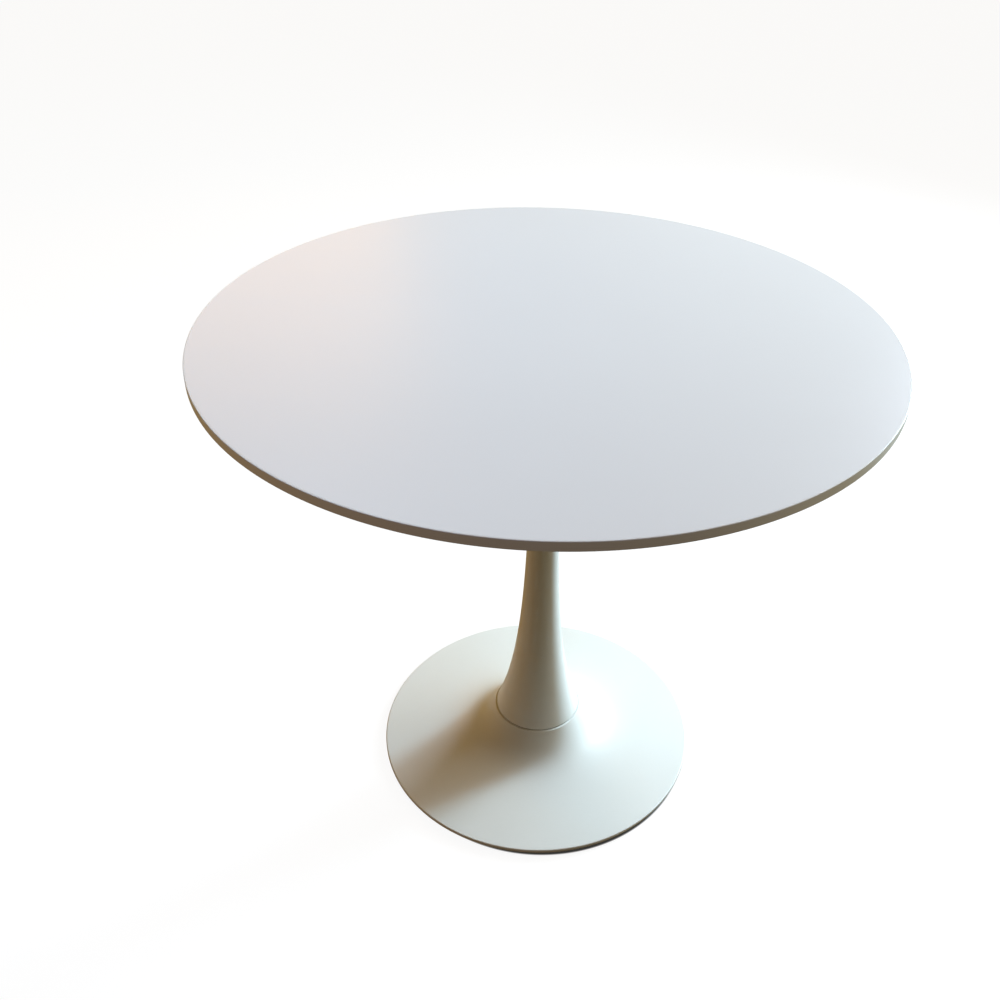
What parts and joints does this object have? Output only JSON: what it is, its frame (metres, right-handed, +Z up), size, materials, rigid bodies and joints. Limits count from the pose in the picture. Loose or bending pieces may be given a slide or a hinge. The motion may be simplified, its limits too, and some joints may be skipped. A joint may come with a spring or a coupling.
{
  "type": "round pedestal table",
  "caption": "Round dining table with a thin satin top on a slim trumpet-shaped column rising from a round, shallow, flared base with screw-adjusted glides.",
  "frame": {"origin": "on the floor, under the middle of the column", "axes": "+Z up along the column's axis; +X to the right and +Y to the back, with the glides on the diagonals between them"},
  "size_m": [0.8999, 0.9, 0.74],
  "materials": {
    "white_laminate": "satin decorative laminate",
    "white_edging": "satin extruded edging",
    "backing_sheet": "matt balancing laminate",
    "fibreboard": "sanded fibreboard",
    "white_coating": "fine powder coating on steel",
    "black_coating": "matt powder coating on steel",
    "zinc_steel": "bright zinc plating",
    "black_rubber": "moulded rubber",
    "glide_nylon": "moulded nylon"
  },
  "bodies": {
    "table": {"top_core": "fibreboard", "top_laminate": "white_laminate", "backing_laminate": "backing_sheet", "edge_band": "white_edging", "insert_nuts": "zinc_steel", "mounting_plate": "black_coating", "plate_socket": "black_coating", "plate_nut": "zinc_steel", "plate_washers": "zinc_steel", "plate_screws": "zinc_steel", "column": "white_coating", "column_foot_ring": "black_coating", "seat_gasket": "black_rubber", "base_cover": "white_coating", "floor_plate": "black_coating", "ballast_disc": "black_coating", "ballast_screws": "zinc_steel", "rim_cushion": "black_rubber", "hub_tube": "black_coating", "hub_head": "black_coating", "tie_rod": "zinc_steel", "rod_washer": "zinc_steel", "spring_washer": "zinc_steel", "rod_nut": "zinc_steel"},
    "pad_1": {"glide_pad_1": "glide_nylon"},
    "screw_1": {"glide_stud_1": "zinc_steel"},
    "pad_2": {"glide_pad_2": "glide_nylon"},
    "screw_2": {"glide_stud_2": "zinc_steel"},
    "pad_3": {"glide_pad_3": "glide_nylon"},
    "screw_3": {"glide_stud_3": "zinc_steel"},
    "pad_4": {"glide_pad_4": "glide_nylon"},
    "screw_4": {"glide_stud_4": "zinc_steel"}
  },
  "joints": [
    {"name": "glide_height_1", "type": "slide", "parent": "table", "child": "pad_1", "axis": [0, 0, -1], "range_m": [0, 0.004]},
    {"name": "glide_turn_1", "type": "hinge", "parent": "pad_1", "child": "screw_1", "pos_m": [0.13081, 0.13081, 0], "axis": [0, 0, -1], "range_deg": [0, 1152]},
    {"name": "glide_height_2", "type": "slide", "parent": "table", "child": "pad_2", "axis": [0, 0, -1], "range_m": [0, 0.004]},
    {"name": "glide_turn_2", "type": "hinge", "parent": "pad_2", "child": "screw_2", "pos_m": [-0.13081, 0.13081, 0], "axis": [0, 0, -1], "range_deg": [0, 1152]},
    {"name": "glide_height_3", "type": "slide", "parent": "table", "child": "pad_3", "axis": [0, 0, -1], "range_m": [0, 0.004]},
    {"name": "glide_turn_3", "type": "hinge", "parent": "pad_3", "child": "screw_3", "pos_m": [-0.13081, -0.13081, 0], "axis": [0, 0, -1], "range_deg": [0, 1152]},
    {"name": "glide_height_4", "type": "slide", "parent": "table", "child": "pad_4", "axis": [0, 0, -1], "range_m": [0, 0.004]},
    {"name": "glide_turn_4", "type": "hinge", "parent": "pad_4", "child": "screw_4", "pos_m": [0.13081, -0.13081, 0], "axis": [0, 0, -1], "range_deg": [0, 1152]}
  ],
  "couplings": [
    {"joint": "glide_height_1", "follows": "glide_turn_1", "m_per_rad": 0.00019894},
    {"joint": "glide_height_2", "follows": "glide_turn_2", "m_per_rad": 0.00019894},
    {"joint": "glide_height_3", "follows": "glide_turn_3", "m_per_rad": 0.00019894},
    {"joint": "glide_height_4", "follows": "glide_turn_4", "m_per_rad": 0.00019894}
  ]
}
